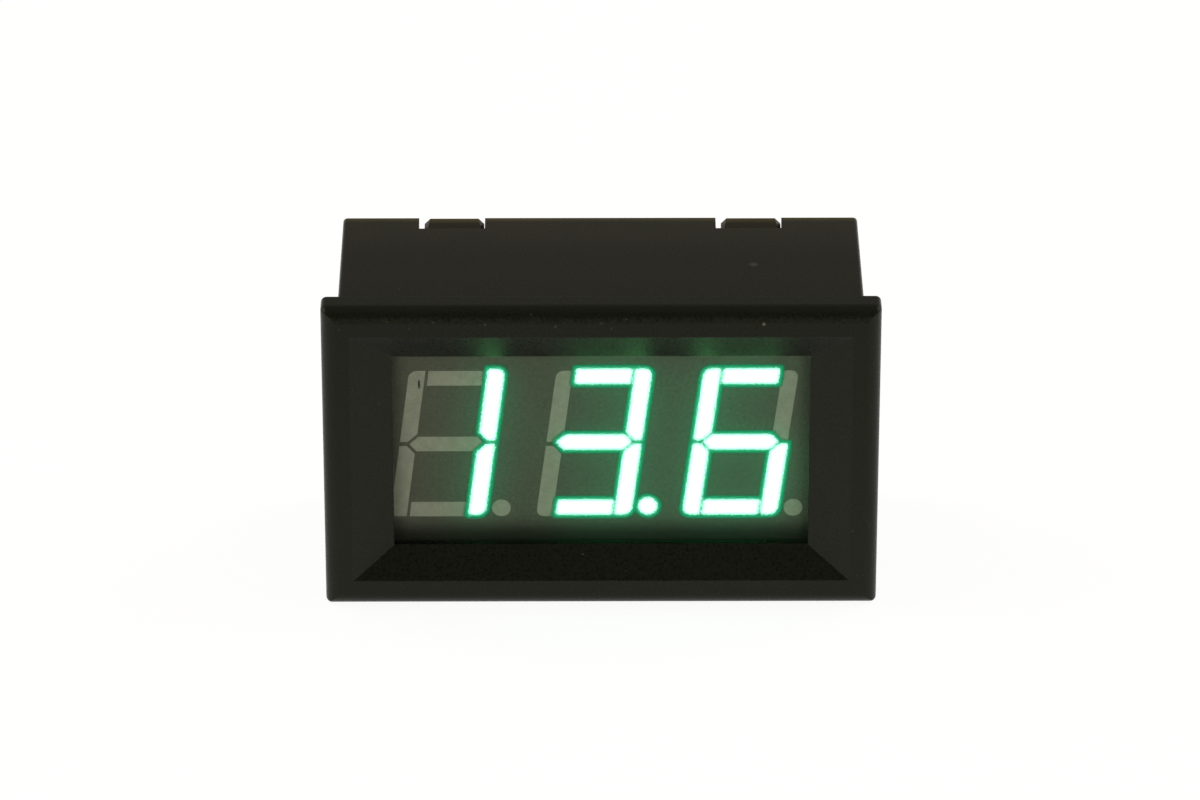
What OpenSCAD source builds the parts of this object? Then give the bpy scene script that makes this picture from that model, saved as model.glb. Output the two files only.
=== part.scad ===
// Three-digit LED panel meter for a 46 x 27 mm panel cut-out.
// X runs across the front, Z runs up it, and +Y runs back through the panel.
// The origin is the centre of the bezel's rear face, which seats on the panel.

/* [Bezel] */
// Width of the bezel
bezel_w = 48; // [47.6:0.1:56]
// Height of the bezel
bezel_h = 28.8; // [28.3:0.1:36]
// Thickness of the bezel, from its front to its panel seat
bezel_t = 2.8; // [2.5:0.1:3.4]
// Radius along the bezel's front edges
edge_r = 1.25; // [0.9:0.05:1.5]
// Radius of the bezel's four corners
corner_r = 0.5; // [0.3:0.05:0.8]

/* [Display recess] */
// Width of the flat frame left and right of the recess
frame_side = 2.4; // [1.8:0.05:3]
// Height of the flat frame above and below the recess
frame_end = 2.55; // [2:0.05:3.2]
// Depth of the recess's sloped faces
recess_depth = 1.8; // [1.2:0.05:1.9]
// Straight land between the sloped faces and the filter
window_land = 0.3; // [0.2:0.05:0.5]
// How far the window's edge laps over the display left and right
window_lap_x = 0.8; // [0.3:0.05:1]
// How far the window's edge laps over the display above and below
window_lap_z = 0.35; // [0.2:0.05:0.8]

/* [Case] */
// Width of the case behind the bezel
case_w = 45.3; // [44.4:0.1:46.4]
// Height of the case behind the bezel
case_h = 26.2; // [25.8:0.1:27.4]
// Depth of the case behind the panel seat
case_depth = 18.2; // [16.4:0.1:24]
// Wall thickness of the case
wall = 1.1; // [0.9:0.05:1.3]
// Radius along the case's four long edges
case_r = 0.4; // [0.2:0.05:0.8]
// Thickness of the ribs that locate the display and seat the board
rib_t = 1.2; // [0.8:0.1:2]
// Height of the side ribs above and below the middle
side_rib_z = 7.9; // [6.8:0.1:8.6]
// Distance of the upper and lower ribs from the middle
end_rib_x = 15; // [10:0.5:17]

/* [Snap tongues] */
// Height of each snap tongue
tongue_h = 9; // [6:0.5:11]
// Distance from the panel seat to the tongue's free end
tongue_start = 1.3; // [1:0.1:1.8]
// Length of the tongue from its free end to its root
tongue_l = 8.2; // [7:0.2:10]
// Width of the slot around the tongue
tongue_slot = 0.8; // [0.5:0.1:1.1]
// Thickest panel that the barbs hold
panel_t = 2.2; // [2.1:0.1:3]
// How far each barb stands out from the case
barb_reach = 1.1; // [0.6:0.1:1.2]
// Height of each barb
barb_h = 7; // [4:0.5:8]

/* [Rear cover] */
// Thickness of the rear cover
cover_t = 1.4; // [1.2:0.1:2]
// Play between the cover's edge and the case wall
cover_clear = 0.25; // [0.16:0.01:0.3]
// Share of its play by which the cover sits to one side
cover_shift = 0.8; // [0:0.05:0.8]
// Distance of the cover's tabs from the middle
tab_x = 13.05; // [9:0.05:15]
// Width of each tab
tab_w = 5.25; // [4:0.05:6]
// Play left and right of a tab in its notch
tab_play = 0.275; // [0.25:0.025:0.5]
// Depth of the notches along the case
notch_l = 2.1; // [1.8:0.1:3]
// Gap between a tab and the bottom of its notch
tab_gap = 0.12; // [0.05:0.01:0.3]
// Chamfer on the tabs' outer corners
tab_chamfer = 0.5; // [0.2:0.05:0.8]
// Radius of the posts that hold the board
post_r = 1.1; // [0.8:0.1:1.4]
// Radius of the hole that a screwdriver goes through
access_r = 2.3; // [1.6:0.1:2.6]
// Gap around the header in the cover's wire opening
wire_gap = 0.5; // [0.3:0.05:0.8]

/* [Filter and display] */
// Thickness of the tinted filter
filter_t = 1; // [0.8:0.1:1.2]
// Width of the display module
display_w = 37.6; // [37.4:0.1:38.4]
// Height of the display module
display_h = 19; // [18.4:0.1:19.4]
// Depth of the display module
display_t = 8; // [7:0.1:8.2]
// Play around the display between the ribs
display_clear = 0.1; // [0.05:0.01:0.2]
// Height of the feet that the module stands on
foot_t = 1; // [0.6:0.1:1.2]
// Depth of the module's open back
back_recess = 1.6; // [1.4:0.1:2]
// Thickness of the module's own small board
chip_board_t = 1; // [0.8:0.1:1.1]

/* [Digits] */
// Height of the digits
digit_h = 14.2; // [12:0.1:14.6]
// Width of a digit across one level
digit_w = 8.2; // [7:0.1:8.6]
// Distance from one digit to the next
digit_pitch = 12.7; // [12.4:0.05:12.8]
// Sideways place of the middle digit
digit_shift = -0.65; // [-0.7:0.05:-0.3]
// Slant of the digits in degrees
slant = 7.3; // [0:0.1:8]
// Width of a segment
seg_t = 1.42; // [1.1:0.02:1.6]
// Gap between neighbouring segments
seg_gap = 0.27; // [0.15:0.01:0.4]
// Gap at the waist between upper and lower segments
waist_gap = 0.4; // [0.2:0.02:0.5]
// Radius of the digits' outer corners
digit_r = 0.65; // [0.3:0.05:0.9]
// Radius of the decimal points
point_r = 0.82; // [0.6:0.02:0.9]
// Distance from a digit's middle to its decimal point
point_x = 4.67; // [4.4:0.01:4.8]

/* [Boards and parts] */
// Thickness of the main board
board_t = 1.2; // [1:0.1:1.6]
// Play between the main board's edge and the case wall
board_clear = 0.25; // [0.15:0.05:0.4]
// Radius of the round pins
pin_r = 0.25; // [0.2:0.01:0.3]
// Play between a pin and its hole
pin_clear = 0.05; // [0.03:0.01:0.08]
// Distance between neighbouring display pins
pin_pitch = 2.54; // [2.4:0.02:2.6]
// Distance between the two rows of display pins
pin_rows = 15.24; // [14.6:0.02:15.6]
// How far the pins stand out behind the board
pin_stub = 1.4; // [1:0.1:1.5]

/* [Wire header] */
// Sideways place of the header
header_x = -12.5; // [-13.5:0.1:-11]
// Distance between neighbouring header pins
header_pitch = 2; // [2:0.1:2.5]
// Gap between the header's mouth and the cover
header_air = 0.3; // [0.1:0.05:1]
// Height of the header across its pins
header_h = 4.5; // [4.2:0.1:5.2]
// Wall thickness of the header's shroud
header_wall = 0.6; // [0.5:0.05:0.8]
// Thickness of the header's floor
header_floor = 1; // [0.8:0.1:1.4]
// Width of the header's square pins
header_pin_w = 0.5; // [0.4:0.02:0.64]

/* [Trimmer] */
// Sideways place of the trimmer
trimmer_x = 12.5; // [11:0.1:13.5]
// Width of the trimmer's body
trimmer_w = 6.6; // [6:0.1:7]
// Height of the trimmer's body
trimmer_h = 7; // [6:0.1:7.4]
// Gap between the trimmer's body and the cover
trimmer_air = 1.4; // [0.5:0.1:1.7]
// Radius of the rotor's hidden flange
rotor_r = 2.2; // [2:0.05:2.5]
// Radius of the rotor's head
rotor_head_r = 1.6; // [1.2:0.05:1.8]
// Running clearance around the rotor
rotor_clear = 0.05; // [0.02:0.01:0.08]
// Width of the screwdriver slot
rotor_slot_w = 0.6; // [0.4:0.05:0.8]
// Depth of the screwdriver slot
rotor_slot_l = 0.7; // [0.4:0.05:0.9]

/* [Hidden] */
$fn = 48;
eps = 0.01;
SIDES = [-1, 1];

// How far a cut reaches past the solid that it opens
over = 1;

// Places along Y, from the front to the rear
front_y = -bezel_t;
filter_y = front_y + recess_depth + window_land;
display_y = filter_y + filter_t;
display_end = display_y + display_t;
chip_board_y = display_end - back_recess;
potting_y = chip_board_y + chip_board_t;
board_y = display_end + foot_t;
board_back = board_y + board_t;
cover_y = case_depth - cover_t;
notch_y = case_depth - notch_l;

// Sizes that follow from the driving ones
inner_w = case_w - 2 * wall;
inner_h = case_h - 2 * wall;
recess_w = bezel_w - 2 * frame_side;
recess_h = bezel_h - 2 * frame_end;
window_w = display_w - 2 * window_lap_x;
window_h = display_h - 2 * window_lap_z;
pocket_w = display_w + 2 * display_clear;
pocket_h = display_h + 2 * display_clear;
board_w = inner_w - 2 * board_clear;
board_h = inner_h - 2 * board_clear;
cover_w = inner_w - 2 * cover_clear;
cover_h = inner_h - 2 * cover_clear;

// Snap tongue
tongue_end = tongue_start + tongue_l;
barb_flat = 0.4;
barb_tail = 0.8;

// Cover's snap beads and the grooves they click into
bead_reach = 0.6;
bead_l = 8;
bead_t = 0.8;
bead_end = case_depth - 0.3;
groove_depth = 0.6;
groove_play = 0.3;

// Cover tabs and posts
tab_drop = 0.05;
tab_slope = 0.25;
tab_root = 1;
post_x = board_w / 2 - post_r - 0.5;
post_z = board_h / 2 - post_r - 0.4;
access_sink = 0.3;

// Display module
shell_wall = 0.4;
shell_play = 0.1;
foot_w = 1.4;
pins_in_row = 6;
chip_w = 0.3;
chip_t = 0.25;
LETTERS = ["a", "b", "c", "d", "e", "f", "g", "point"];
LIT = [["b", "c"], ["a", "b", "c", "d", "g", "point"], ["a", "c", "d", "e", "f", "g"]];
flat_share = 0.46;
g_tip = 0.12;

// Solder
solder_spread = 0.4;
solder_l = 0.55;

// Header and trimmer
header_pin_r = header_pin_w / sqrt(2);
header_end = 1.95;
header_l = cover_y - board_back - header_air;
header_w = 2 * (header_pitch + header_end);
header_pin_tip = 1;
header_key_w = 1;
header_key_l = 3;
trimmer_l = cover_y - board_back - trimmer_air;
rotor_flange_t = 1;
rotor_lip_t = 0.6;
rotor_stem_r = 0.8;
rotor_stem_l = 1.2;
trimmer_pin_z = 2.5;
underside_stub = 0.7;

// Small parts on the back of the main board, each width, depth and height
lead_t = 0.15;
foot_share = 0.55;
shoulder_share = 0.3;
controller = [6.5, 1, 4.4];
controller_pins = 10;
controller_pitch = 0.65;
controller_reach = 1;
controller_lead_w = 0.26;
transistor = [2.9, 1, 1.3];
transistor_gap = 1.2;
transistor_row_z = 5;
transistor_reach = 0.5;
transistor_lead_w = 0.4;
regulator = [4.5, 1.5, 2.5];
regulator_z = 8;
regulator_pitch = 1.5;
regulator_lead = [0.45, lead_t, 1.4];
regulator_reach = 0.9;
chip_part = [1.25, 0.5, 2];
resistor_count = 6;
resistor_pitch = 2;
resistor_row_z = -5.1;
capacitor = [1.25, 0.9, 2];
capacitor_gap = 0.4;
tantalum = [3.5, 1.9, 2.8];
diode = [4.3, 2.1, 2.6];
diode_lead = [1.2, lead_t, 1.5];
diode_reach = 0.7;

// Extrudes an X-Z outline from y0 to y1
module along_y(y0, y1) translate([0, y1, 0]) rotate([90, 0, 0]) linear_extrude(y1 - y0) children();

// Extrudes a Y-Z outline over a width centred on x
module along_x(x, w) translate([x - w / 2, 0, 0]) rotate([90, 0, 90]) linear_extrude(w) children();

// Extrudes an X-Y outline over a height centred on z
module along_z(z, h) translate([0, 0, z - h / 2]) linear_extrude(h) children();

// Box by its centre in X and Z, and by its first face and depth in Y
module block(x, y, z, size) translate([x - size[0] / 2, y, z - size[2] / 2]) cube(size);

// Round bar along Y
module rod(x, y0, y1, z, r) translate([x, y1, z]) rotate([90, 0, 0]) cylinder(r = r, h = y1 - y0);

// Rectangle with round corners
module round_rect(w, h, r) {
    square([w - 2 * r, h], center = true);
    square([w, h - 2 * r], center = true);
    for (x = SIDES, z = SIDES) translate([x * (w / 2 - r), z * (h / 2 - r)]) circle(r);
}

// Outline across the bezel: its front corners are rounded to the edge radius
module eased_outline(w) {
    translate([-w / 2, edge_r - bezel_t]) square([w, bezel_t - edge_r]);
    translate([edge_r - w / 2, -bezel_t]) square([w - 2 * edge_r, bezel_t]);
    for (s = SIDES) translate([s * (w / 2 - edge_r), edge_r - bezel_t]) circle(edge_r);
}

// Upright corner of the bezel, turned from the part of the edge's profile inside the corner radius
module bezel_corner() rotate([-90, 0, 0]) rotate_extrude() {
    intersection() {
        translate([corner_r - edge_r, edge_r - bezel_t]) circle(edge_r);
        translate([0, -bezel_t]) square([corner_r, edge_r]);
    }
    translate([0, edge_r - bezel_t]) square([corner_r, bezel_t - edge_r]);
}

// Bezel plate: the two eased outlines crossed, less the corner squares, with the turned corners
module bezel_plate() {
    intersection() {
        along_x(0, bezel_w) rotate(90) mirror([0, 1]) eased_outline(bezel_h);
        along_z(0, bezel_h) eased_outline(bezel_w);
        union() {
            along_y(-bezel_t, 0) square([bezel_w - 2 * corner_r, bezel_h], center = true);
            along_y(-bezel_t, 0) square([bezel_w, bezel_h - 2 * corner_r], center = true);
        }
    }
    for (x = SIDES, z = SIDES)
        translate([x * (bezel_w / 2 - corner_r), 0, z * (bezel_h / 2 - corner_r)]) bezel_corner();
}

// Sloped recess: two trapezoids crossed, so that its four faces meet on mitres
module recess() {
    intersection() {
        along_z(0, recess_h + 2 * over) polygon(recess_outline(recess_w, window_w));
        along_x(0, recess_w + 2 * over)
            polygon([for (p = recess_outline(recess_h, window_h)) [p[1], p[0]]]);
    }
    along_y(front_y + recess_depth - eps, filter_y + eps) square([window_w, window_h], center = true);
}

// Outline of the recess across one direction, carried a little past the front
function recess_outline(outer, inner) =
    let (slope = (outer - inner) / 2 / recess_depth, ahead = over / 2)
    [[-outer / 2 - slope * ahead, front_y - ahead], [outer / 2 + slope * ahead, front_y - ahead],
     [inner / 2, front_y + recess_depth], [-inner / 2, front_y + recess_depth]];

// Ribs that hold the display sideways and carry the board on their ends
module ribs() {
    side_l = (inner_w - pocket_w) / 2 + eps;
    end_l = (inner_h - pocket_h) / 2 + eps;
    for (s = SIDES, k = SIDES) {
        block(s * (inner_w / 2 + eps - side_l / 2), filter_y - eps, k * side_rib_z,
            [side_l, board_y - filter_y + eps, rib_t]);
        block(s * end_rib_x, filter_y - eps, k * (inner_h / 2 + eps - end_l / 2),
            [rib_t, board_y - filter_y + eps, end_l]);
    }
}

// U-shaped slot that frees a tongue from the side wall
module tongue_slots(side) {
    x = side * (case_w / 2 - wall / 2);
    cut = wall + 2 * over;
    block(x, tongue_start - tongue_slot, 0, [cut, tongue_slot, tongue_h + 2 * tongue_slot]);
    for (k = SIDES)
        block(x, tongue_start - eps, k * (tongue_h + tongue_slot) / 2, [cut, tongue_l, tongue_slot]);
}

// Wedge on a tongue that snaps behind the panel
module barb(side) {
    root = case_w / 2 - eps;
    tip = case_w / 2 + barb_reach;
    along_z(0, barb_h) polygon([[side * root, panel_t], [side * tip, panel_t],
        [side * tip, panel_t + barb_flat], [side * root, tongue_end - barb_tail]]);
}

// Bezel, recess and case as one moulding
module front_case() color("#2a2a26") {
    difference() {
        union() {
            bezel_plate();
            along_y(-eps, case_depth) round_rect(case_w, case_h, case_r);
            for (s = SIDES) barb(s);
        }
        recess();
        along_y(filter_y, case_depth + over) square([inner_w, inner_h], center = true);
        for (s = SIDES) {
            tongue_slots(s);
            block(s * inner_w / 2, bead_end - bead_t - groove_play, 0,
                [2 * groove_depth, bead_t + groove_play, bead_l + 2 * groove_play]);
            for (k = SIDES)
                block(s * tab_x, notch_y, k * case_h / 2, [tab_w + 2 * tab_play, notch_l + over, 4 * wall]);
        }
    }
    ribs();
}

// Smoked filter held between the window's lip and the display
module filter_lens() color("#30342c", 0.5)
    along_y(filter_y, display_y) square([display_w, display_h], center = true);

// Tab that fills a notch: it slopes down to the front, and its outer corners are chamfered
module cover_tab(x, k) {
    top = case_h / 2 - tab_drop;
    foot = cover_h / 2 - tab_root;
    start = notch_y + tab_gap;
    intersection() {
        along_x(x, tab_w) polygon([[start, k * foot], [case_depth, k * foot], [case_depth, k * top],
            [start, k * (top - tab_slope)]]);
        along_y(start, case_depth) polygon([[x - tab_w / 2, k * foot], [x + tab_w / 2, k * foot],
            [x + tab_w / 2, k * (top - tab_chamfer)], [x + tab_w / 2 - tab_chamfer, k * top],
            [x - tab_w / 2 + tab_chamfer, k * top], [x - tab_w / 2, k * (top - tab_chamfer)]]);
    }
}

// Plate that closes the case, with its tabs, snap beads and board posts
module rear_cover() color("#2b2a26") {
    difference() {
        union() {
            translate([cover_shift * cover_clear, 0, 0]) {
                along_y(cover_y, case_depth) square([cover_w, cover_h], center = true);
                for (s = SIDES, k = SIDES) cover_tab(s * tab_x, k);
                for (s = SIDES) along_z(0, bead_l) polygon([[s * (cover_w / 2 - eps), bead_end - bead_t],
                    [s * (cover_w / 2 + bead_reach), bead_end - bead_t / 3],
                    [s * (cover_w / 2 + bead_reach), bead_end], [s * (cover_w / 2 - eps), bead_end]]);
            }
            for (s = SIDES, k = SIDES) rod(s * post_x, board_back, cover_y + eps, k * post_z, post_r);
        }
        block(header_x, cover_y - over, 0,
            [header_w + 2 * wire_gap, cover_t + 2 * over, header_h + 2 * wire_gap]);
        rod(trimmer_x, cover_y - over, case_depth + over, 0, access_r);
        translate([trimmer_x, case_depth + eps, 0]) rotate([90, 0, 0])
            cylinder(r1 = access_r + access_sink, r2 = access_r, h = access_sink);
    }
}

// A digit's outer corner in its own frame, before it is slanted
function corner_arc(sx, sz) = let (cx = digit_w / 2 - digit_r, cz = digit_h / 2 - digit_r)
    [for (a = [0:18:90]) [sx * (cx + digit_r * sin(a)), sz * (cz + digit_r * cos(a))]];

// Upright segment on side sx of the upper or lower half sz
function upright(sx, sz) = let (outer = digit_w / 2, inner = digit_w / 2 - seg_t, flat = seg_t * flat_share)
    concat([[sx * inner, sz * digit_h / 2]], corner_arc(sx, sz),
        [[sx * outer, sz * waist_gap / 2], [sx * (outer - flat), sz * waist_gap / 2],
         [sx * inner, sz * (waist_gap / 2 + seg_t - flat)]]);

// Level segment at the top or the bottom
function level(sz) = let (half = digit_w / 2 - seg_t - seg_gap)
    [[-half, sz * digit_h / 2], [half, sz * digit_h / 2],
     [half, sz * (digit_h / 2 - seg_t)], [-half, sz * (digit_h / 2 - seg_t)]];

// Middle segment, pointed between the uprights
function middle() = let (tip = digit_w / 2 - seg_t * flat_share + waist_gap / 2 - seg_gap * sqrt(2),
        flank = tip - seg_t / 2)
    [[-tip + g_tip / 2, g_tip / 2], [-flank, seg_t / 2], [flank, seg_t / 2], [tip - g_tip / 2, g_tip / 2],
     [tip - g_tip / 2, -g_tip / 2], [flank, -seg_t / 2], [-flank, -seg_t / 2],
     [-tip + g_tip / 2, -g_tip / 2]];

function segment(letter) = letter == "a" ? level(1) : letter == "d" ? level(-1)
    : letter == "b" ? upright(1, 1) : letter == "c" ? upright(1, -1)
    : letter == "e" ? upright(-1, -1) : letter == "f" ? upright(-1, 1) : middle();

function digit_place(n) = digit_shift + (n - 2) * digit_pitch;

// One segment's or point's outline in its place on the display
module segment_outline(n, letter) translate([digit_place(n), 0])
    if (letter == "point") translate([point_x, point_r - digit_h / 2]) circle(point_r);
    else polygon([for (p = segment(letter)) [p[0] + p[1] * tan(slant), p[1]]]);

// Where a segment's light-emitting chip sits
function chip_place(n, letter) = let (side = (digit_w - seg_t) / 2, rise = (digit_h - seg_t) / 2,
        x = letter == "b" || letter == "c" ? side : letter == "e" || letter == "f" ? -side : 0,
        z = letter == "a" ? rise : letter == "d" ? -rise : letter == "g" ? 0
            : letter == "b" || letter == "f" ? rise / 2 : -rise / 2)
    letter == "point" ? [digit_place(n) + point_x, point_r - digit_h / 2]
        : [digit_place(n) + x + z * tan(slant), z];

module chip(n, letter) let (p = chip_place(n, letter))
    block(p[0], chip_board_y - chip_t, p[1], [chip_w, chip_t, chip_w]);

function is_lit(n, letter) = len([for (l = LIT[n - 1]) if (l == letter) l]) > 0;

// Light pipes of one digit, all that are lit or all that are dark
module light_pipes(n, lit) for (letter = LETTERS) if (is_lit(n, letter) == lit) difference() {
    along_y(display_y, chip_board_y) segment_outline(n, letter);
    chip(n, letter);
}
module lit_pipes(n) color("#b8ffe6") light_pipes(n, true);
module unlit_pipes(n) color("#69705f") light_pipes(n, false);

// Pins' places: two rows above and below the digits
module at_display_pins() for (i = [0:pins_in_row - 1], k = SIDES)
    translate([(i - (pins_in_row - 1) / 2) * pin_pitch, 0, k * pin_rows / 2]) children();

// Reflector block with a cell for each segment, an open back and four feet
module display_shell() color("#41453a") {
    difference() {
        along_y(display_y, display_end) square([display_w, display_h], center = true);
        for (n = [1:3], letter = LETTERS)
            along_y(display_y - over, chip_board_y + eps) segment_outline(n, letter);
        along_y(chip_board_y, display_end + over)
            square([display_w - 2 * shell_wall, display_h - 2 * shell_wall], center = true);
    }
    for (s = SIDES, k = SIDES) difference() {
        block(s * (display_w - foot_w) / 2, display_end - back_recess, k * (display_h - foot_w) / 2,
            [foot_w, back_recess + foot_t, foot_w]);
        along_y(chip_board_y - over, display_end)
            square([display_w - 2 * shell_wall, display_h - 2 * shell_wall], center = true);
    }
}

module display_chips() color("#d8e8a0") for (n = [1:3], letter = LETTERS) chip(n, letter);

module display_board() color("#2e5a3c") {
    inset = 2 * (shell_wall + shell_play);
    difference() {
        along_y(chip_board_y, potting_y) square([display_w - inset, display_h - inset], center = true);
        at_display_pins() rod(0, chip_board_y - over, potting_y + over, 0, pin_r);
    }
}

// Resin that seals the display's back around its pins
module display_potting() color("#c9c7b4") difference() {
    along_y(potting_y, display_end)
        square([display_w - 2 * shell_wall, display_h - 2 * shell_wall], center = true);
    at_display_pins() rod(0, potting_y - over, display_end + over, 0, pin_r);
}

module display_pins() color("#c8c8c4")
    at_display_pins() rod(0, chip_board_y, board_back + pin_stub, 0, pin_r);

// Places of the header's and the trimmer's pins
module at_header_pins() for (i = [-1:1]) translate([header_x + i * header_pitch, 0, 0]) children();
module at_trimmer_pins() for (i = [-1:1])
    translate([trimmer_x + i * trimmer_pin_z, 0, i == 0 ? trimmer_pin_z : -trimmer_pin_z]) children();

module main_board() color("#1f5a34") difference() {
    along_y(board_y, board_back) square([board_w, board_h], center = true);
    at_display_pins() rod(0, board_y - over, board_back + over, 0, pin_r + pin_clear);
    at_header_pins() rod(0, board_y - over, board_back + over, 0, header_pin_r + pin_clear);
    at_trimmer_pins() rod(0, board_y - over, board_back + over, 0, pin_r + pin_clear);
}

// Solder round one pin: it fills the hole and rises as a cone on one face, dir -1 front and 1 rear
module solder(r, dir) {
    face = dir > 0 ? board_back : board_y;
    rod(0, board_y, board_back, 0, r + pin_clear);
    translate([0, face, 0]) rotate([dir > 0 ? -90 : 90, 0, 0])
        cylinder(r1 = r + solder_spread, r2 = r + pin_clear, h = solder_l);
}

module solder_joints() color("#b9bcc0") {
    at_display_pins() difference() {
        solder(pin_r, 1);
        rod(0, board_y - over, board_back + pin_stub + over, 0, pin_r);
    }
    at_trimmer_pins() difference() {
        solder(pin_r, -1);
        rod(0, board_y - 2 * over, board_back + over, 0, pin_r);
    }
    at_header_pins() difference() {
        solder(header_pin_r, -1);
        block(0, board_y - 2 * over, 0, [header_pin_w, board_t + 3 * over, header_pin_w]);
    }
}

module controller_body() color("#1c1c1e") block(0, board_back + lead_t, 0, controller);

// Bent lead: foot on the board, riser, and shoulder against the body
module gull_lead(w, reach, rise) let (heel = reach * (1 - foot_share), shoulder = reach * shoulder_share)
    along_x(0, w) polygon([[0, reach], [0, heel], [rise - lead_t, shoulder], [rise - lead_t, 0],
        [rise, 0], [rise, shoulder + lead_t / 2], [lead_t, heel + lead_t / 2], [lead_t, reach]]);

module controller_leads() color("#b9b9b6") for (i = [0:controller_pins - 1], k = SIDES)
    translate([(i - (controller_pins - 1) / 2) * controller_pitch, board_back, k * controller[2] / 2])
        mirror([0, 0, k < 0 ? 1 : 0])
            gull_lead(controller_lead_w, controller_reach, controller[1] / 2 + lead_t);

// Digit driver transistors, one for each digit
module at_transistors() for (i = [-1:1])
    translate([i * (transistor[0] + transistor_gap), board_back, transistor_row_z]) children();
module transistor_bodies() color("#1c1c1e") at_transistors() block(0, lead_t, 0, transistor);
module transistor_leads() color("#b9b9b6") at_transistors() {
    for (i = SIDES) translate([i * transistor[0] / 3, 0, -transistor[2] / 2])
        mirror([0, 0, 1]) gull_lead(transistor_lead_w, transistor_reach, transistor[1] / 2);
    translate([0, 0, transistor[2] / 2])
        gull_lead(transistor_lead_w, transistor_reach, transistor[1] / 2);
}

module regulator_body() color("#1c1c1e") block(header_x, board_back + lead_t, regulator_z, regulator);
module regulator_leads() color("#b9b9b6") for (i = [-1:1])
    block(header_x + i * regulator_pitch, board_back,
        regulator_z - regulator[2] / 2 - regulator_reach + regulator_lead[2] / 2, regulator_lead);

module chip_resistors() color("#222226") for (i = [0:resistor_count - 1])
    block((i - (resistor_count - 1) / 2) * resistor_pitch, board_back, resistor_row_z, chip_part);

module chip_capacitors() color("#a58a63") for (i = SIDES)
    block(i * (controller[0] / 2 + capacitor[0] + capacitor_gap), board_back, 0, capacitor);

module tantalum_capacitor() color("#c98a1e") block(trimmer_x, board_back, regulator_z, tantalum);

module diode_body() color("#1c1c1e") block(header_x, board_back + lead_t, -regulator_z, diode);
module diode_leads() color("#b9b9b6") for (s = SIDES)
    block(header_x + s * ((diode[0] - diode_lead[0]) / 2 + diode_reach), board_back, -regulator_z,
        diode_lead);

// Shrouded wire header: floor, four walls and two keyways in the lower wall
module header_housing() color("#e6e2d2") difference() {
    block(header_x, board_back, 0, [header_w, header_l, header_h]);
    block(header_x, board_back + header_floor, 0,
        [header_w - 2 * header_wall, header_l, header_h - 2 * header_wall]);
    for (s = SIDES)
        block(header_x + s * header_pitch / 2, board_back + header_l - header_key_l,
            header_wall / 2 - header_h / 2, [header_key_w, header_key_l + over, header_wall + 2 * eps]);
    at_header_pins() block(0, board_back - over, 0, [header_pin_w, header_floor + 2 * over, header_pin_w]);
}

module header_pins() color("#cfccc0") at_header_pins()
    block(0, board_y - underside_stub, 0,
        [header_pin_w, board_t + header_l + underside_stub - header_pin_tip, header_pin_w]);

// Half-outline of the rotor about its own axis, grown by gap for the cavity that it turns in
module rotor_outline(gap) {
    top = trimmer_l - rotor_clear + (gap > 0 ? over : 0);
    flange_top = trimmer_l - rotor_lip_t - rotor_clear;
    flange_foot = flange_top - rotor_flange_t;
    polygon([[0, flange_foot - rotor_stem_l - gap], [rotor_stem_r + gap, flange_foot - rotor_stem_l - gap],
        [rotor_stem_r + gap, flange_foot - gap], [rotor_r + gap, flange_foot - gap],
        [rotor_r + gap, flange_top + gap], [rotor_head_r + gap, flange_top + gap],
        [rotor_head_r + gap, top], [0, top]]);
}
module turned_rotor(gap) translate([trimmer_x, board_back, 0]) rotate([-90, 0, 0])
    rotate_extrude() rotor_outline(gap);

module trimmer_body() color("#1f57b8") difference() {
    block(trimmer_x, board_back, 0, [trimmer_w, trimmer_l, trimmer_h]);
    turned_rotor(rotor_clear);
}

module trimmer_rotor() color("#e9e6dc") difference() {
    turned_rotor(0);
    block(trimmer_x, board_back + trimmer_l - rotor_clear - rotor_slot_l, 0,
        [2 * rotor_head_r + over, rotor_slot_l + over, rotor_slot_w]);
}

module trimmer_pins() color("#c8c8c4")
    at_trimmer_pins() rod(0, board_y - underside_stub, board_back, 0, pin_r);

front_case();
filter_lens();
rear_cover();
display_shell();
lit_pipes(1);  // digit_1_lit
unlit_pipes(1);  // digit_1_unlit
lit_pipes(2);  // digit_2_lit
unlit_pipes(2);  // digit_2_unlit
lit_pipes(3);  // digit_3_lit
unlit_pipes(3);  // digit_3_unlit
display_chips();
display_board();
display_potting();
display_pins();
main_board();
solder_joints();
controller_body();
controller_leads();
regulator_body();
regulator_leads();
transistor_bodies();
transistor_leads();
chip_resistors();
chip_capacitors();
tantalum_capacitor();
diode_body();
diode_leads();
header_housing();
header_pins();
trimmer_body();
trimmer_rotor();
trimmer_pins();
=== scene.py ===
"""Looks of a three-digit LED panel meter: materials, dust, glow of the lit digits, studio and camera."""
import math

import bmesh
import bpy
import numpy as np
from mathutils import Matrix, Vector


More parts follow.
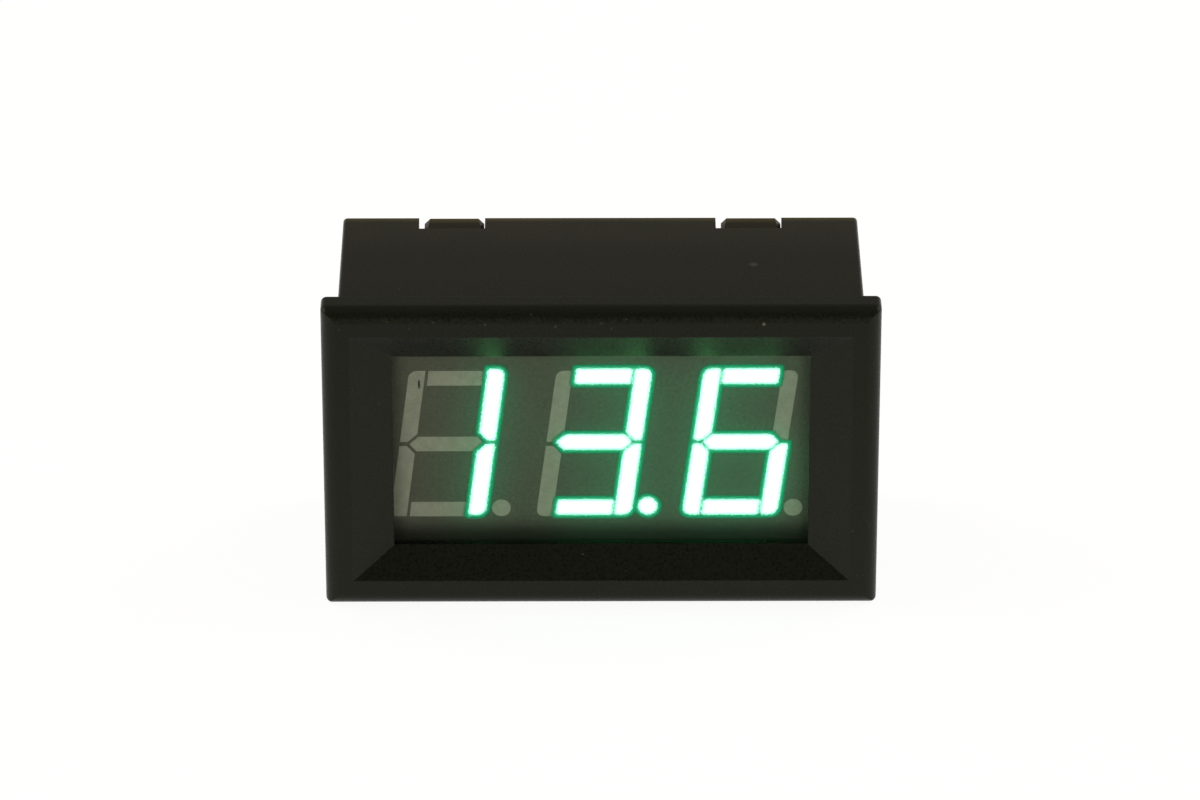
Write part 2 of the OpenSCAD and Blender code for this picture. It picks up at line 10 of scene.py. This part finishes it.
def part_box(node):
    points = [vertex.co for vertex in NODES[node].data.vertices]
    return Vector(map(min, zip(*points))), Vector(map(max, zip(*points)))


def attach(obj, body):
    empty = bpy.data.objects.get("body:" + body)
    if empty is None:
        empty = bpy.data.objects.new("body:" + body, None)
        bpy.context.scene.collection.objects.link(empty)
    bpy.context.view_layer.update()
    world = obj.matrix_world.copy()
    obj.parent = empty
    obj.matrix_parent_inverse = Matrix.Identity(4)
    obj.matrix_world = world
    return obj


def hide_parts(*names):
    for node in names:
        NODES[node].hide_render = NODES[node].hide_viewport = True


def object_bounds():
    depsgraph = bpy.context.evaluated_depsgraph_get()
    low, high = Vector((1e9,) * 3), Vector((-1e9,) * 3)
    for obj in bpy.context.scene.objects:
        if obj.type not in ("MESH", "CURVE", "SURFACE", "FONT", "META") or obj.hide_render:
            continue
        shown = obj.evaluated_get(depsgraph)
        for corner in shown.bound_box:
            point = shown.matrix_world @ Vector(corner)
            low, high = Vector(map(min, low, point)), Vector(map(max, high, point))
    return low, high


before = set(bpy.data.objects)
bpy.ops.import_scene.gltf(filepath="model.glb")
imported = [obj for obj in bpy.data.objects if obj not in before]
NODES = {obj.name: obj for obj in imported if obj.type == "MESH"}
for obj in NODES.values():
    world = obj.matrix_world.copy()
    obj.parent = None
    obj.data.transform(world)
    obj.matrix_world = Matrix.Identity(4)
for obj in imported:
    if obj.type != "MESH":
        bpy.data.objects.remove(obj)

MM = 0.001
WHITE = (1.0, 1.0, 1.0)
cad_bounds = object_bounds()
FRONT, REAR = cad_bounds[0][1], cad_bounds[1][1]  # the bezel's face and the cover's outer face, along Y


# ---------------------------------------------------------------- node helpers
class Tree:
    """A material's or the world's node tree, with short calls that make and link nodes."""

    def __init__(self, owner):
        owner.use_nodes = True
        self.nt = owner.node_tree
        self.nt.nodes.clear()

    def add(self, kind, inputs=None, **props):
        """New node of a kind, with its properties set and its inputs fed."""
        node = self.nt.nodes.new("ShaderNode" + kind)
        for key, value in props.items():
            setattr(node, key, value)
        for key, value in (inputs or {}).items():
            self.feed(node.inputs[key], value)
        return node

    def feed(self, socket, value):
        """Links another node's output to a socket, or sets the socket's own value."""
        if isinstance(value, bpy.types.NodeSocket):
            self.nt.links.new(value, socket)
        elif isinstance(value, (tuple, list)) and len(value) == 3 and socket.type == "RGBA":
            socket.default_value = (*value, 1.0)
        else:
            socket.default_value = value

    def math(self, op, a, b=0.0, clamp=False):
        return self.add("Math", {0: a, 1: b}, operation=op, use_clamp=clamp).outputs[0]

    def remap(self, value, lo, hi, out_lo=0.0, out_hi=1.0, smooth=True):
        """Value carried from one range to another and held at its ends."""
        inputs = {"Value": value, "From Min": lo, "From Max": hi, "To Min": out_lo, "To Max": out_hi}
        kind = "SMOOTHSTEP" if smooth else "LINEAR"
        return self.add("MapRange", inputs, interpolation_type=kind).outputs["Result"]

    def mix(self, share, a, b):
        """Colour between a and b."""
        node = self.add("Mix", data_type="RGBA")
        self.feed(node.inputs["Factor"], share)
        self.feed(node.inputs[6], a)
        self.feed(node.inputs[7], b)
        return node.outputs[2]

    def blend(self, share, a, b):
        """Shader between a and b."""
        return self.add("MixShader", {0: share, 1: a, 2: b}).outputs[0]

    def noise(self, vector, scale, detail=3.0, rough=0.55):
        """Noise with a scale in grains a metre, so 9000 is a grain of about 0.1 mm."""
        inputs = {"Vector": vector, "Scale": scale, "Detail": detail, "Roughness": rough}
        return self.add("TexNoise", inputs).outputs["Fac"]

    def attribute(self, name):
        return self.add("Attribute", attribute_name=name).outputs["Fac"]

    def place(self):
        return self.add("TexCoord").outputs["Object"]

    def axes(self, vector):
        return self.add("SeparateXYZ", {"Vector": vector}).outputs

    def bump(self, height, strength, depth, edge=0.0, samples=4):
        """Normal roughened by a height map of some depth, with edges softened to a radius."""
        inputs = {"Strength": strength, "Distance": depth, "Height": height}
        if edge:
            inputs["Normal"] = self.add("Bevel", {"Radius": edge}, samples=samples).outputs[0]
        return self.add("Bump", inputs).outputs[0]

    def surface(self, normal, **inputs):
        """Principled shader from keyword inputs, with underscores for spaces."""
        node = self.add("BsdfPrincipled", {"Normal": normal})
        for key, value in inputs.items():
            self.feed(node.inputs[key.replace("_", " ")], value)
        return node.outputs[0]

    def emit(self, colour, strength):
        return self.add("Emission", {"Color": colour, "Strength": strength}).outputs[0]

    def out(self, shader, kind="Material"):
        self.nt.links.new(shader, self.add("Output" + kind).inputs["Surface"])


def new_material(name):
    """New material and its empty node tree."""
    material = bpy.data.materials.new(name)
    return material, Tree(material)


def srgb(r, g, b):
    """Linear colour of an 8-bit one."""
    return tuple(((c / 255 + 0.055) / 1.055) ** 2.4 if c > 10 else c / 255 / 12.92 for c in (r, g, b))


# ---------------------------------------------------------------- materials
GRAIN = 0.01 * MM  # depth of a fine surface grain
SPARK_GRAIN = 0.012 * MM  # depth of the grain that spark erosion leaves on a mould
DUST_COLOUR = srgb(100, 101, 90)
# Painted highlight on the rear rim of the case and cover
RIM_HIGHLIGHT = srgb(74, 68, 44)
SHADE_START, SHADE_END = 0.5 * MM, 2.8 * MM  # the window's shade fades between these heights of the display


def fleck_mask(t, at, flecks):
    """Mask of small ragged flecks, each given by its place and radius in millimetres and its strength."""
    stray = 0.16
    solid_share = 0.3
    wobble = t.add("TexNoise", {"Vector": at, "Scale": 7000.0, "Detail": 2.0}).outputs["Color"]
    moved = {0: wobble, 1: (stray * MM,) * 3, 2: at}
    ragged = t.add("VectorMath", moved, operation="MULTIPLY_ADD").outputs[0]
    mask = 0.0
    for x, y, z, radius, strength in flecks:
        middle = tuple((c + stray / 2) * MM for c in (x, y, z))
        away = t.add("VectorMath", {0: ragged, 1: middle}, operation="DISTANCE").outputs["Value"]
        mask = t.math("MAXIMUM", mask, t.remap(away, radius * MM, solid_share * radius * MM, 0, strength))
    return mask


def stray_dust(t, at):
    """Mask of faint specks of dust in a few of many small cells."""
    cells = t.add("TexVoronoi", {"Vector": at, "Scale": 900.0, "Randomness": 1.0})
    speck = t.remap(cells.outputs["Distance"], 0.06, 0.03)
    chosen = t.remap(t.axes(cells.outputs["Color"])[0], 0.9, 0.95, 0, 0.35)
    return t.math("MULTIPLY", speck, chosen, True)


def moulded_plastic(name, near, far, end, grain=0.35, flecks=()):
    """Satin moulded ABS with painted shade and light, in three tones from the darker front to the paler
    rear: spark grain, mottling, soft edges and dust.
    """
    material, t = new_material(name)
    at = t.place()
    y = t.axes(at)[1]
    # Painted shade and light: darker at the front and paler towards the rear, and on the case the digits'
    # green light tints the front tone
    colour = t.mix(t.remap(y, FRONT + 0.6 * MM, FRONT + 8.8 * MM), near, far)
    colour = t.mix(t.remap(y, REAR - 9.2 * MM, REAR), colour, end)
    # Painted highlight: the rear rim is paler on the walls, and not on the faces square to Y
    facing = t.math("ABSOLUTE", t.axes(t.add("TexCoord").outputs["Normal"])[1])
    rim_highlight = t.math("MULTIPLY", t.remap(y, REAR - 0.9 * MM, REAR - 0.1 * MM), t.remap(facing, 0.6, 0.3))
    colour = t.mix(rim_highlight, colour, RIM_HIGHLIGHT)
    cloud = t.noise(at, 260)
    colour = t.mix(t.remap(cloud, 0.35, 0.7, 0, 0.3), colour, tuple(c * 1.3 for c in near))
    dust = t.math("MAXIMUM", stray_dust(t, at), fleck_mask(t, at, flecks))
    colour = t.mix(dust, colour, DUST_COLOUR)
    mottle = t.remap(t.noise(at, 4200, 4.0, 0.8), 0.36, 0.64, 0.24, 0.46)
    rough = t.math("ADD", mottle, t.math("MULTIPLY", dust, 0.3))
    bump = t.bump(t.noise(at, 9000, 4.0), grain, SPARK_GRAIN, edge=0.1 * MM, samples=6)
    t.out(t.surface(bump, Base_Color=colour, Roughness=rough, Specular_IOR_Level=0.18,
                    Specular_Tint=(1.0, 0.99, 0.8)))
    return material


def window_shade(t, z, least=0.07):
    """Factor that darkens the display below its digits, where the window's lower edge shades it."""
    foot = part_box("display_shell")[0][2]
    return t.remap(z, foot + SHADE_START, foot + SHADE_END, least, 1.0)


def display_face(name):
    """Mottled grey front of the display module, with the shade that the window's edge throws on it."""
    material, t = new_material(name)
    at = t.place()
    grain = t.noise(at, 7000)
    mottle = t.noise(at, 3600, 4.0, 0.8)
    colour = t.mix(t.remap(mottle, 0.35, 0.65), srgb(109, 114, 102), srgb(129, 130, 122))
    colour = t.mix(window_shade(t, t.axes(at)[2]), (0, 0, 0), colour)
    t.out(t.surface(t.bump(grain, 0.2, GRAIN), Base_Color=colour,
                    Roughness=t.remap(grain, 0.3, 0.7, 0.5, 0.65)))
    return material


def lit_epoxy(name):
    """Cast resin of a lit light pipe."""
    material, t = new_material(name)
    at = t.place()
    grain = t.noise(at, 8000)
    light = t.mix(t.remap(t.noise(at, 1500), 0.3, 0.7), (0.23, 1.0, 0.34), (0.25, 1.0, 0.38))
    t.out(t.surface(t.bump(grain, 0.15, GRAIN), Base_Color=srgb(200, 226, 208),
                    Roughness=t.remap(grain, 0.3, 0.7, 0.3, 0.5),
                    Emission_Color=light, Emission_Strength=8.0))
    return material


def dark_epoxy(name):
    """Milky cast resin of a dark light pipe, with one void in the first digit's upper left segment."""
    void_x, void_z = -15.7 * MM, 5.8 * MM
    void_half_width, void_half_height = 0.11 * MM, 0.55 * MM
    material, t = new_material(name)
    at = t.place()
    grain = t.noise(at, 8000)
    x, _, z = t.axes(at)
    colour = t.mix(t.remap(t.noise(at, 1500), 0.3, 0.7), srgb(208, 211, 200), srgb(222, 224, 214))
    across = t.math("DIVIDE", t.math("SUBTRACT", x, void_x), void_half_width)
    along = t.math("DIVIDE", t.math("SUBTRACT", z, void_z), void_half_height)
    void = t.math("ADD", t.math("MULTIPLY", across, across), t.math("MULTIPLY", along, along))
    colour = t.mix(t.remap(void, 1.0, 0.4), colour, srgb(20, 22, 16))
    t.out(t.surface(t.bump(grain, 0.15, GRAIN), Base_Color=colour,
                    Roughness=t.remap(grain, 0.3, 0.7, 0.35, 0.55)))
    return material


def smoked_filter(name, flecks):
    """Matt smoked acrylic: mostly clear with a dark olive tint, a thin hazy skin and flecks of dust."""
    material, t = new_material(name)
    at = t.place()
    grain = t.noise(at, 11000)
    dust = fleck_mask(t, at, flecks)
    skin = t.surface(t.bump(grain, 0.35, SPARK_GRAIN),
                     Base_Color=t.mix(dust, srgb(52, 55, 47), srgb(120, 124, 108)),
                     Roughness=t.remap(grain, 0.3, 0.7, 0.45, 0.62), Specular_IOR_Level=0.3)
    clear = t.add("BsdfTransparent", {"Color": (0.795, 0.802, 0.79)}).outputs[0]
    t.out(t.blend(t.math("MAXIMUM", t.remap(grain, 0.35, 0.65, 0.05, 0.13), dust), clear, skin))
    return material


def metal(name, colour, rough=(0.22, 0.38), scale=5000):
    """Tin or solder with a fine uneven skin."""
    material, t = new_material(name)
    grain = t.noise(t.place(), scale, 4.0)
    tint = t.mix(t.remap(grain, 0.3, 0.7, 0, 0.5), colour, tuple(c * 0.8 for c in colour))
    t.out(t.surface(t.bump(grain, 0.25, GRAIN), Base_Color=tint, Metallic=1.0,
                    Roughness=t.remap(grain, 0.3, 0.7, *rough)))
    return material


def plain_plastic(name, colour, rough=(0.35, 0.5), scale=5000, spec=0.45, strength=0.2):
    """Moulded or coated small part, lightly clouded and grained, with soft edges."""
    material, t = new_material(name)
    at = t.place()
    grain = t.noise(at, scale, 4.0)
    tint = t.mix(t.remap(t.noise(at, 400, 2.0), 0.3, 0.7), colour, tuple(c * 0.82 for c in colour))
    t.out(t.surface(t.bump(grain, strength, SPARK_GRAIN, edge=0.05 * MM), Base_Color=tint,
                    Roughness=t.remap(grain, 0.3, 0.7, *rough), Specular_IOR_Level=spec))
    return material


def solder_mask(name, colour, track):
    """Circuit board: glossy mask, with copper tracks that show through as raised lighter lines."""
    material, t = new_material(name)
    at = t.place()
    cells = t.add("TexVoronoi", {"Vector": at, "Scale": 420.0}, feature="DISTANCE_TO_EDGE")
    lines = t.remap(cells.outputs["Distance"], 0.09, 0.05)
    grain = t.noise(at, 3000)
    bump = t.bump(t.math("ADD", lines, grain), 0.3, 2 * GRAIN)
    t.out(t.surface(bump, Base_Color=t.mix(lines, colour, track),
                    Roughness=t.remap(grain, 0.3, 0.7, 0.22, 0.4), Specular_IOR_Level=0.5))
    return material


def assign(material, *nodes):
    """Gives CAD nodes a material in all their slots."""
    for node in nodes:
        for slot in NODES[node].material_slots:
            slot.material = material


# Dust on the bezel, the recess and the case's top: place and radius in millimetres, and strength
CASE_DUST = [
    (13.9, -2.8, 13.1, 0.2, 0.8), (-3.9, -2.8, 12.9, 0.16, 0.2), (0.0, -2.8, 13.2, 0.16, 0.2),
    (0.9, -2.8, 12.7, 0.14, 0.16), (-9.9, -2.8, 13.1, 0.16, 0.2), (-6.0, -2.5, 13.9, 0.14, 0.16),
    (-14.3, -2.8, 13.3, 0.16, 0.16), (-16.4, -2.8, 12.7, 0.14, 0.16), (-18.3, -2.8, 13.4, 0.14, 0.14),
    (-22.4, -2.8, 12.6, 0.14, 0.14), (-17.4, 4.1, 13.1, 0.16, 0.2), (13.3, 8.8, 13.1, 0.5, 0.32),
    (-1.6, -1.5, -9.9, 0.14, 0.35), (-10.2, -2.8, -11.7, 0.14, 0.25), (23.3, -2.8, -6.5, 0.2, 0.16),
    (23.4, -2.8, -7.1, 0.2, 0.2), (21.8, -2.8, -7.0, 0.18, 0.12), (-19.2, -1.5, 4.9, 0.16, 0.2)]
FILTER_DUST = [(-12.9, -0.7, -2.3, 0.16, 0.5), (-2.7, -0.7, -3.9, 0.16, 0.5)]

# The case's and cover's three tones run from painted shade at the front to painted light at the rear
assign(moulded_plastic("case_abs", srgb(15, 17, 13), srgb(22, 21, 16), srgb(37, 35, 28), flecks=CASE_DUST),
       "front_case")
assign(moulded_plastic("cover_abs", srgb(31, 29, 23), srgb(33, 31, 24), srgb(36, 34, 26), grain=0.3),
       "rear_cover")
assign(display_face("display_grey"), "display_shell")
assign(lit_epoxy("epoxy_lit"), "digit_1_lit", "digit_2_lit", "digit_3_lit")
assign(dark_epoxy("epoxy_dark"), "digit_1_unlit", "digit_2_unlit", "digit_3_unlit")
assign(plain_plastic("chip_epoxy", srgb(216, 232, 160)), "display_chips")
assign(solder_mask("display_mask", srgb(46, 90, 60), srgb(70, 120, 84)), "display_board")
assign(plain_plastic("potting_resin", srgb(201, 199, 180), rough=(0.2, 0.4)), "display_potting")
assign(solder_mask("main_mask", srgb(24, 84, 46), srgb(52, 120, 72)), "main_board")
assign(metal("tinned", srgb(205, 205, 200)), "display_pins", "controller_leads", "regulator_leads",
       "transistor_leads", "diode_leads", "trimmer_pins", "header_pins")
assign(metal("solder", srgb(190, 192, 196), rough=(0.15, 0.3), scale=2500), "solder_joints")
assign(plain_plastic("chip_black", srgb(30, 30, 32), rough=(0.5, 0.65), scale=8000, spec=0.35,
                     strength=0.35),
       "controller_body", "regulator_body", "transistor_bodies", "diode_body", "chip_resistors")
assign(plain_plastic("capacitor_tan", srgb(165, 138, 99)), "chip_capacitors")
assign(plain_plastic("tantalum_yellow", srgb(201, 138, 30)), "tantalum_capacitor")
assign(plain_plastic("header_nylon", srgb(230, 226, 210), rough=(0.4, 0.55)), "header_housing")
assign(plain_plastic("trimmer_blue", srgb(31, 87, 184), rough=(0.25, 0.4)), "trimmer_body")
assign(plain_plastic("rotor_white", srgb(233, 230, 220), rough=(0.3, 0.45)), "trimmer_rotor")


# ---------------------------------------------------------------- filter
def new_piece(mesh, material):
    """Object of a mesh and its material, in the scene."""
    mesh.materials.append(material)
    piece = bpy.data.objects.new(mesh.name, mesh)
    bpy.context.collection.objects.link(piece)
    return piece


def filter_plate():
    """The tinted filter with softened edges, a little short of the display, so that no faces coincide."""
    air = 0.1 * MM
    edge = 0.08 * MM
    lo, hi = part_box("filter_lens")
    size = (hi[0] - lo[0], hi[1] - lo[1] - air, hi[2] - lo[2])
    bm = bmesh.new()
    bmesh.ops.create_cube(bm, size=1.0)
    for v in bm.verts:
        v.co = [lo[i] + (v.co[i] + 0.5) * size[i] for i in range(3)]
    bmesh.ops.bevel(bm, geom=list(bm.edges), offset=edge, segments=2, profile=0.5, affect="EDGES")
    mesh = bpy.data.meshes.new("filter_plate")
    bm.to_mesh(mesh)
    bm.free()
    piece = new_piece(mesh, smoked_filter("smoked_acrylic", FILTER_DUST))
    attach(piece, "meter")
    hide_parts("filter_lens")


filter_plate()


# ---------------------------------------------------------------- glow of the lit segments
SHEET_AIR = 0.03 * MM  # between the sheet and the display's face
SHEET_MARGIN = 0.15 * MM  # left free along the display's upper and side edges
SHEET_DROP = 0.4 * MM  # the sheet reaches below the display, to the window's lower edge
SHEET_STEP = 0.11 * MM
# The light comes from inside the resin, so it sits a little above and to the right of the outlines
GLOW_LIFT = 0.19 * MM
GLOW_SHIFT = 0.05 * MM
CORNER_BLUR = 0.13 * MM  # rounds the corners of the lit outlines
HAZE_REACH = 1.5 * MM

# Colour of a lit segment and the ring round it, by the distance from its outline in mm, negative inside
RING = [(-0.3, (0.92, 1.0, 0.97)), (-0.2, (0.76, 1.0, 0.93)), (-0.12, (0.66, 1.0, 0.92)),
        (-0.06, (0.64, 1.0, 0.9)), (-0.02, (0.52, 0.97, 0.83)), (0.02, (0.24, 0.78, 0.55)),
        (0.06, (0.02, 0.37, 0.18)), (0.17, (0.009, 0.3, 0.13)), (0.25, (0.008, 0.22, 0.095)),
        (0.35, (0.012, 0.145, 0.062)), (0.6, (0.02, 0.1, 0.045))]
RING_STRENGTH = 2.0
RING_COVERS, RING_ENDS = 0.25, 0.52  # distances in mm between which the ring fades out
CORE_COLOUR, CORE_STRENGTH = (0.03, 1.0, 0.12), 7
HAZE_COLOUR, HAZE_STRENGTH = (0.04, 1.0, 0.35), 0.39
VEIL = (0.6, 1.0, 0.95)  # what the sheet would let through in the strongest haze


def lit_outlines():
    """Boundary edges of the lit light pipes' front faces, as pairs of (x, z) points."""
    near = 0.01 * MM
    edges = []
    for node in ("digit_1_lit", "digit_2_lit", "digit_3_lit"):
        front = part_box(node)[0][1]
        bm = bmesh.new()
        bm.from_mesh(NODES[node].data)
        bmesh.ops.remove_doubles(bm, verts=bm.verts, dist=near / 10)
        for e in bm.edges:
            if any(abs(v.co.y - front) >= near for v in e.verts):
                continue
            faces = [f for f in e.link_faces
                     if abs(f.normal.y) > 0.9 and abs(f.calc_center_median().y - front) < near]
            if len(faces) == 1:
                edges.append([(v.co.x, v.co.z) for v in e.verts])
        bm.free()
    return np.array(edges)


def distance_to(edges, px, pz):
    """Signed distance from points to the nearest outline, negative inside it."""
    tiny = 1e-18  # keeps the divisions finite
    best = np.full(px.shape, 1e9)
    inside = np.zeros(px.shape, bool)
    for (ax, az), (bx, bz) in edges:
        dx, dz = bx - ax, bz - az
        along = np.clip(((px - ax) * dx + (pz - az) * dz) / max(dx * dx + dz * dz, tiny), 0, 1)
        best = np.minimum(best, (px - ax - along * dx) ** 2 + (pz - az - along * dz) ** 2)
        crosses = (az > pz) != (bz > pz)
        inside ^= crosses & (px < ax + (pz - az) / (dz if dz else tiny) * dx)
    away = np.sqrt(best)
    away[inside] *= -1
    return away


def spread_light(lit, step, falloff):
    """Light that spreads from the lit points of a grid, weighed by a falloff function of the distance."""
    rows, columns = lit.shape
    dz, dx = np.meshgrid(np.arange(-rows, rows) * step, np.arange(-columns, columns) * step, indexing="ij")
    kernel = falloff(np.hypot(dx, dz))
    kernel /= kernel.sum()
    spectrum = np.fft.rfft2(np.fft.ifftshift(kernel)) * np.fft.rfft2(lit, kernel.shape)
    return np.fft.irfft2(spectrum, kernel.shape)[:rows, :columns]


def soften_corners(away, step, blur):
    """Signed distances, taken from a blur of the lit shapes near their outlines, which rounds corners."""
    lit = np.clip(0.5 - away / step, 0, 1)
    blurred = spread_light(lit, step, lambda d: np.exp(-0.5 * (d / blur) ** 2))
    # Along a straight outline, the blur's share of light tells the distance
    depths = np.linspace(2.5, -2.5, 201)
    shares = [0.5 - 0.5 * math.erf(d / math.sqrt(2)) for d in depths]
    soft = np.interp(blurred, shares, depths * blur)
    return soft + (away - soft) * np.clip(np.abs(away) / (1.2 * blur) - 1, 0, 1)


def glow_mesh():
    """Flat grid over the display that holds each point's distance from the lit outlines and its haze."""
    lo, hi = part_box("display_shell")
    nx = int((hi[0] - lo[0] - 2 * SHEET_MARGIN) / SHEET_STEP)
    nz = int((hi[2] - lo[2] - SHEET_MARGIN + SHEET_DROP) / SHEET_STEP)
    xs = np.linspace(lo[0] + SHEET_MARGIN, hi[0] - SHEET_MARGIN, nx + 1)
    zs = np.linspace(lo[2] - SHEET_DROP, hi[2] - SHEET_MARGIN, nz + 1)
    px, pz = np.meshgrid(xs, zs)
    away = distance_to(lit_outlines(), px - GLOW_SHIFT, pz - GLOW_LIFT)
    spill = spread_light((away < 0).astype(float), SHEET_STEP, lambda d: np.exp(-d / HAZE_REACH))
    away = soften_corners(away, SHEET_STEP, CORNER_BLUR)
    corner = (np.arange(nz)[:, None] * (nx + 1) + np.arange(nx)[None, :]).ravel()
    faces = np.stack([corner, corner + 1, corner + nx + 2, corner + nx + 1], 1)
    points = np.stack([px, np.full_like(px, lo[1] - SHEET_AIR), pz], 2).reshape(-1, 3)
    mesh = bpy.data.meshes.new("segment_glow")
    mesh.from_pydata(points.tolist(), [], faces.tolist())
    for name, values in (("lit_distance", away / MM), ("spill", spill)):
        attribute = mesh.attributes.new(name, "FLOAT", "POINT")
        attribute.data.foreach_set("value", values.ravel().astype(np.float32))
    return mesh


def ring_colour(t, far):
    """Colour of the ring at a distance in millimetres."""
    first, last = RING[0][0], RING[-1][0]
    node = t.add("ValToRGB", {"Fac": t.remap(far, first, last, smooth=False)})
    stops = node.color_ramp.elements
    while len(stops) < len(RING):
        stops.new(0.5)
    for stop, (distance, colour) in zip(stops, RING):
        stop.position = (distance - first) / (last - first)
        stop.color = (*colour, 1)
    return node.outputs["Color"]


def glow_material():
    """Bright face and ragged ring of each lit segment, in a green haze that thins to nothing."""
    material, t = new_material("segment_glow")
    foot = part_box("display_shell")[0][2]
    at = t.place()
    z = t.axes(at)[2]
    teeth = t.remap(t.noise(at, 7600, 2.0, 0.7), 0.35, 0.65, -0.14, 0.09, smooth=False)
    far = t.math("ADD", t.attribute("lit_distance"), teeth)
    spread = t.attribute("spill")
    clear = t.add("BsdfTransparent", {"Color": t.mix(spread, WHITE, VEIL)}).outputs[0]
    ring = t.emit(ring_colour(t, far), RING_STRENGTH)
    shown = t.blend(t.remap(far, RING_ENDS, RING_COVERS), clear, ring)
    # The haze dims in the window's painted shade, and a painted reflection of the glow brightens the
    # window's lower edge
    edge = t.remap(z, foot + 0.05 * MM, foot - 0.15 * MM, 0, 1.4)
    shade = t.math("MAXIMUM", window_shade(t, z, 0.6), edge)
    haze = t.emit(HAZE_COLOUR, t.math("MULTIPLY", t.math("MULTIPLY", spread, HAZE_STRENGTH), shade))
    core = t.emit(CORE_COLOUR, t.remap(far, -0.06, -0.13, 0, CORE_STRENGTH))
    light = t.add("AddShader", {0: haze, 1: core}).outputs[0]
    t.out(t.add("AddShader", {0: shown, 1: light}).outputs[0])
    return material


def glow_sheet():
    """Thin sheet in the filter's back that carries the light bleeding round the lit segments."""
    piece = new_piece(glow_mesh(), glow_material())
    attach(piece, "meter")


glow_sheet()


# ---------------------------------------------------------------- studio
LAMP_COLOUR = (1.0, 0.94, 0.78)
TENT_COLOUR = (1.0, 0.97, 0.86)
SIDE_COLOUR = (1.0, 0.9, 0.74)


def floor():
    """White paper under the meter: it takes a soft shadow, and gloss sees it dimmer towards the camera."""
    half = 0.9
    paper = (0.86, 0.86, 0.86)
    white_share = 0.86  # of its own white, against the light and shadow that fall on it
    z = cad_bounds[0][2]
    mesh = bpy.data.meshes.new("floor")
    mesh.from_pydata([(-half, -half, z), (half, -half, z), (half, half, z), (-half, half, z)], [],
                     [(0, 1, 2, 3)])
    material, t = new_material("floor_paper")
    lit = t.add("BsdfDiffuse", {"Color": paper}).outputs[0]
    # Painted pool of light, seen only in reflections: brighter near the meter, dimmer towards the camera
    pool = t.remap(t.axes(t.place())[1], -0.16, -0.005, 0.35, 1.1)
    rays = t.add("LightPath").outputs
    to_camera = t.math("MULTIPLY", rays["Is Camera Ray"], 1.08)
    to_gloss = t.math("MULTIPLY", rays["Is Glossy Ray"], pool)
    seen = t.blend(white_share, lit, t.emit(WHITE, t.math("ADD", to_camera, to_gloss)))
    direct = t.math("MAXIMUM", rays["Is Camera Ray"], rays["Is Glossy Ray"])
    t.out(t.blend(direct, lit, seen))
    new_piece(mesh, material)


def sky():
    """Studio tent: bright at the sides, dimmer behind and overhead, dark in front, white to the camera."""
    world = bpy.data.worlds.new("studio")
    bpy.context.scene.world = world
    t = Tree(world)
    x, y, z = t.axes(t.add("TexCoord").outputs["Generated"])
    sideways = t.math("ABSOLUTE", x)
    back = t.math("MULTIPLY", t.remap(y, -0.2, 0.3), 0.25)
    top = t.math("MULTIPLY", t.remap(z, 0.75, 1.0), 0.26)
    side = t.math("MULTIPLY", t.remap(sideways, 0.5, 0.9, 0, 0.65), t.remap(z, 0.7, 0.35))
    strength = t.math("ADD", t.math("MAXIMUM", t.math("MAXIMUM", back, top), side), 0.06)
    colour = t.mix(t.remap(sideways, 0.5, 0.9), TENT_COLOUR, SIDE_COLOUR)
    tent = t.add("Background", {"Color": colour, "Strength": strength}).outputs[0]
    white = t.add("Background", {"Color": WHITE, "Strength": 1.0}).outputs[0]
    t.out(t.blend(t.add("LightPath").outputs["Is Camera Ray"], tent, white), "World")


def softbox(name, place, size, power):
    """Rectangular lamp that faces the origin."""
    lamp = bpy.data.lights.new(name, "AREA")
    lamp.shape = "RECTANGLE"
    lamp.size, lamp.size_y = size
    lamp.energy = power
    lamp.color = LAMP_COLOUR
    box = bpy.data.objects.new(name, lamp)
    bpy.context.collection.objects.link(box)
    box.location = place
    box.rotation_euler = (-Vector(place)).to_track_quat("-Z", "Y").to_euler()


def camera():
    """Long lens, 27 degrees above the front's level, aimed a little below the bezel's upper front edge."""
    tilt = math.radians(27.22)
    turn = math.radians(0.21)
    distance = 0.5695
    edge_above_middle = 7.6 * MM
    edge_right_of_middle = 0.1 * MM
    lo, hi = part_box("front_case")
    edge = Vector((0, lo[1], hi[2]))
    forward = Vector((math.sin(turn) * math.cos(tilt), math.cos(turn) * math.cos(tilt), -math.sin(tilt)))
    right = Vector((math.cos(turn), -math.sin(turn), 0))
    up = right.cross(forward)
    lens = bpy.data.cameras.new("camera")
    lens.sensor_width = 36
    lens.lens = 200.4
    lens.clip_start = 0.01
    lens.clip_end = 20
    eye = bpy.data.objects.new("camera", lens)
    place = edge - distance * forward - edge_above_middle * up - edge_right_of_middle * right
    axes = Matrix((right, up, -forward)).transposed().to_4x4()
    eye.matrix_world = Matrix.Translation(place) @ axes
    bpy.context.collection.objects.link(eye)
    bpy.context.scene.camera = eye


floor()
sky()
softbox("left_box", (-0.5, 0.12, 0.42), (0.45, 0.45), 1.5)
softbox("right_box", (0.5, 0.2, 0.42), (0.45, 0.45), 1.5)
softbox("front_left_box", (-0.34, -0.55, 0.1), (0.3, 0.2), 1.35)
softbox("front_right_box", (0.34, -0.55, 0.1), (0.3, 0.2), 1.35)
camera()
bpy.context.scene.view_settings.view_transform = "Standard"
